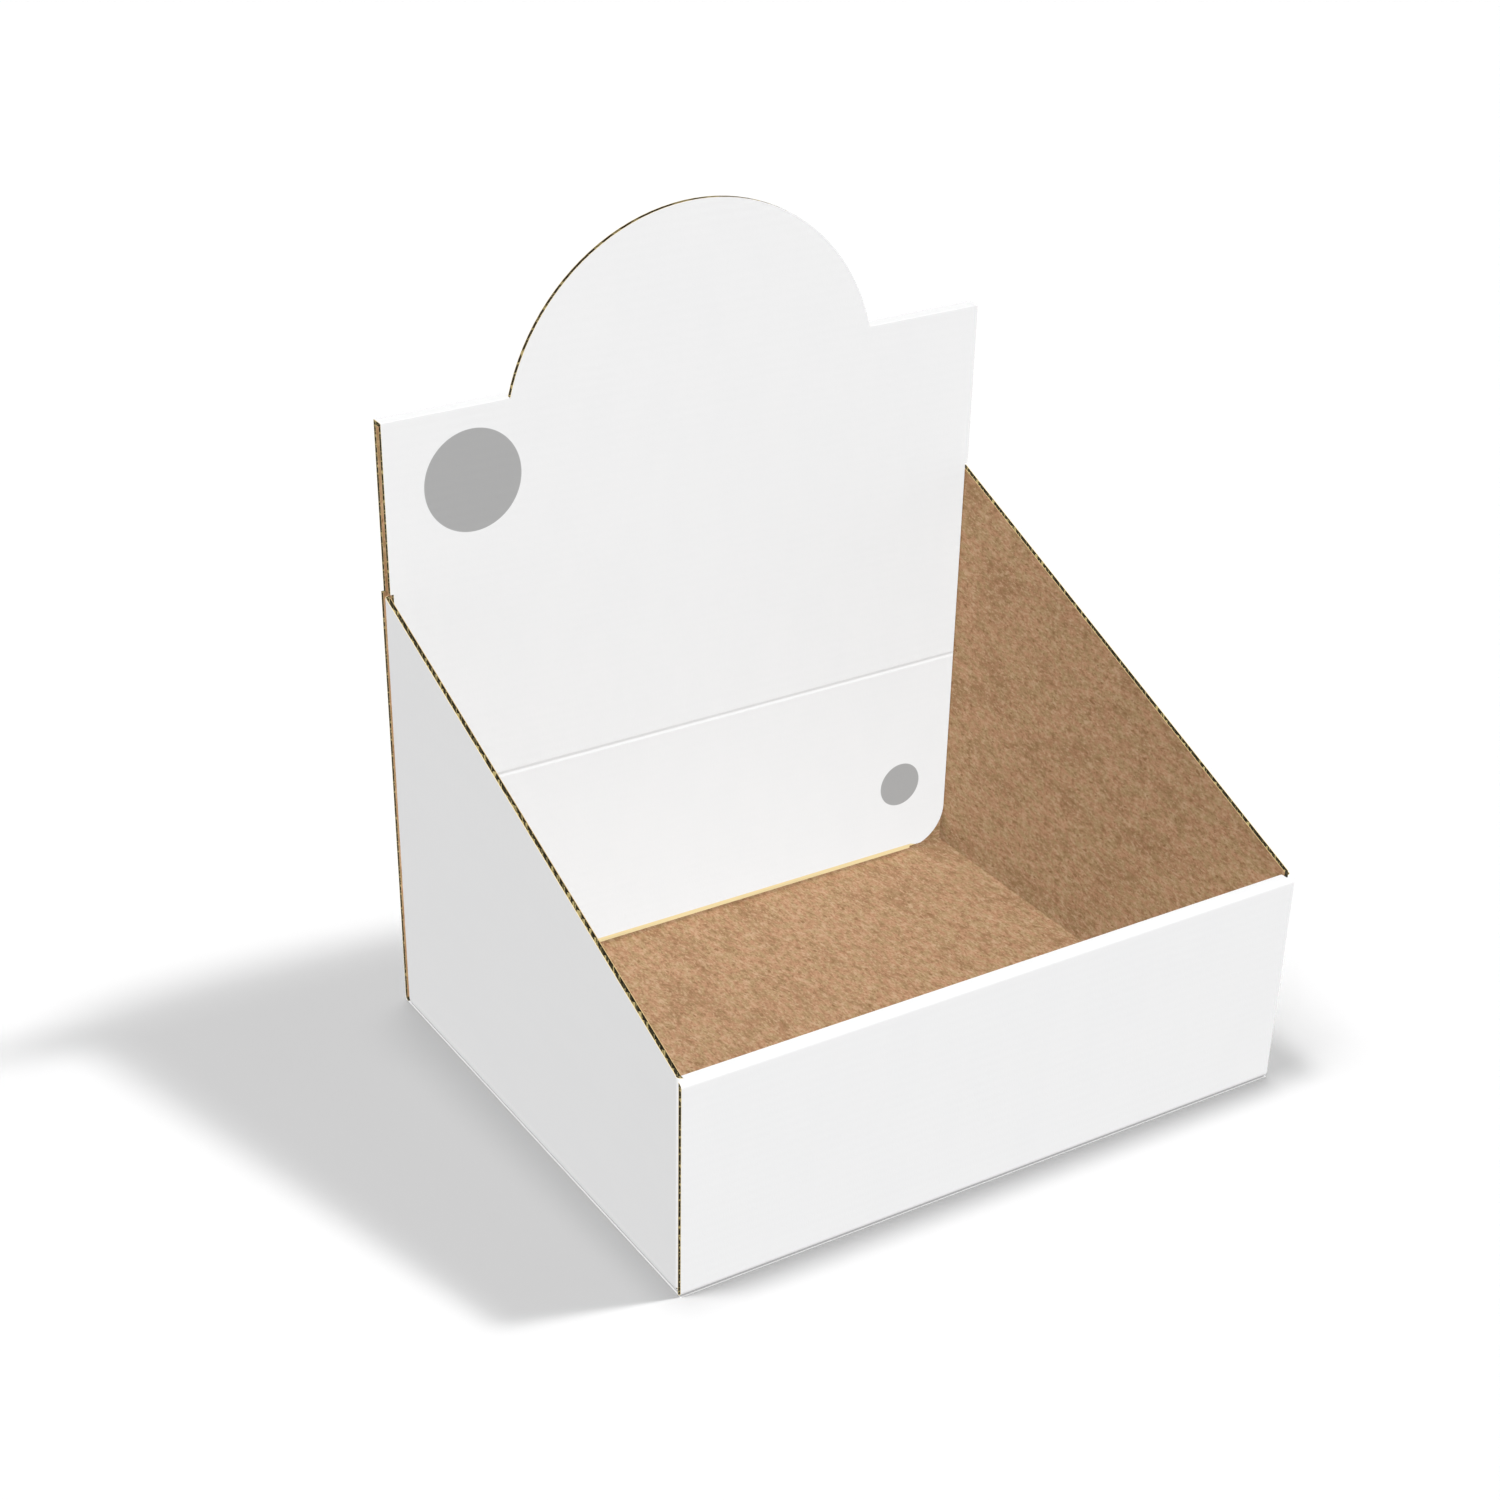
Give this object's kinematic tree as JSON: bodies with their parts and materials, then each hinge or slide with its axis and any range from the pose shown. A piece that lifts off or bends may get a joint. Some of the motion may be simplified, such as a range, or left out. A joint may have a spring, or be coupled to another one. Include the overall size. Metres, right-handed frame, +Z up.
{
  "type": "counter display box",
  "caption": "Open-topped counter display tray with sloped sides and a folded-back lid standing as a round-topped header, in white-faced kraft corrugated board",
  "frame": {"origin": "middle of the underside, on the surface that the box stands on", "axes": "X across the box, the front wall faces -Y, Z up"},
  "size_m": [0.3044, 0.252, 0.355],
  "materials": {
    "white_liner": "matt white printed liner",
    "fluting": "raw pale-yellow corrugated medium, seen at cut edges",
    "kraft_liner": "uncoated brown kraft liner with fine mottled fibres"
  },
  "bodies": {
    "tray": {"base_outer_liner": "white_liner", "base_fluting": "fluting", "base_inner_liner": "kraft_liner", "front_wall_outer_liner": "white_liner", "front_wall_fluting": "fluting", "front_wall_inner_liner": "kraft_liner", "rim_strip_outer_liner": "white_liner", "rim_strip_fluting": "fluting", "rim_strip_inner_liner": "kraft_liner", "front_inner_wall_outer_liner": "white_liner", "front_inner_wall_fluting": "fluting", "front_inner_wall_inner_liner": "kraft_liner", "left_wall_outer_liner": "white_liner", "left_wall_fluting": "fluting", "left_wall_inner_liner": "kraft_liner", "right_wall_outer_liner": "white_liner", "right_wall_fluting": "fluting", "right_wall_inner_liner": "kraft_liner", "left_front_flap_outer_liner": "white_liner", "left_front_flap_fluting": "fluting", "left_front_flap_inner_liner": "kraft_liner", "right_front_flap_outer_liner": "white_liner", "right_front_flap_fluting": "fluting", "right_front_flap_inner_liner": "kraft_liner", "left_rear_flap_outer_liner": "white_liner", "left_rear_flap_fluting": "fluting", "left_rear_flap_inner_liner": "kraft_liner", "right_rear_flap_outer_liner": "white_liner", "right_rear_flap_fluting": "fluting", "right_rear_flap_inner_liner": "kraft_liner", "back_wall_outer_liner": "white_liner", "back_wall_fluting": "fluting", "back_wall_inner_liner": "kraft_liner"},
    "header_back": {"header_back_outer_liner": "white_liner", "header_back_fluting": "fluting", "header_back_inner_liner": "kraft_liner"},
    "shoulder_strips": {"left_shoulder_strip_outer_liner": "white_liner", "left_shoulder_strip_fluting": "fluting", "left_shoulder_strip_inner_liner": "kraft_liner", "right_shoulder_strip_outer_liner": "white_liner", "right_shoulder_strip_fluting": "fluting", "right_shoulder_strip_inner_liner": "kraft_liner"},
    "lid": {"lid_panel_outer_liner": "white_liner", "lid_panel_fluting": "fluting", "lid_panel_inner_liner": "kraft_liner"},
    "tuck_flap": {"tuck_flap_outer_liner": "white_liner", "tuck_flap_fluting": "fluting", "tuck_flap_inner_liner": "kraft_liner"}
  },
  "joints": [
    {"name": "header_fold", "type": "hinge", "parent": "tray", "child": "header_back", "pos_m": [0, 0.1238, 0.2078], "axis": [1, 0, 0], "range_deg": [0, 112]},
    {"name": "shoulder_fold", "type": "hinge", "parent": "header_back", "child": "shoulder_strips", "pos_m": [0, 0.126, 0.2845], "axis": [1, 0, 0], "range_deg": [-90.5, 0]},
    {"name": "lid_fold", "type": "hinge", "parent": "header_back", "child": "lid", "pos_m": [0, 0.12255, 0.28795], "axis": [1, 0, 0], "range_deg": [-180.5, 0]},
    {"name": "tuck_fold", "type": "hinge", "parent": "lid", "child": "tuck_flap", "pos_m": [0, 0.1213, 0.1085], "axis": [1, 0, 0], "range_deg": [0, 104.5]}
  ],
  "couplings": [
    {"joint": "shoulder_fold", "follows": "header_fold", "ratio": -0.80357},
    {"joint": "lid_fold", "follows": "header_fold", "ratio": -1.6071},
    {"joint": "tuck_fold", "follows": "header_fold", "ratio": 0.92857}
  ]
}
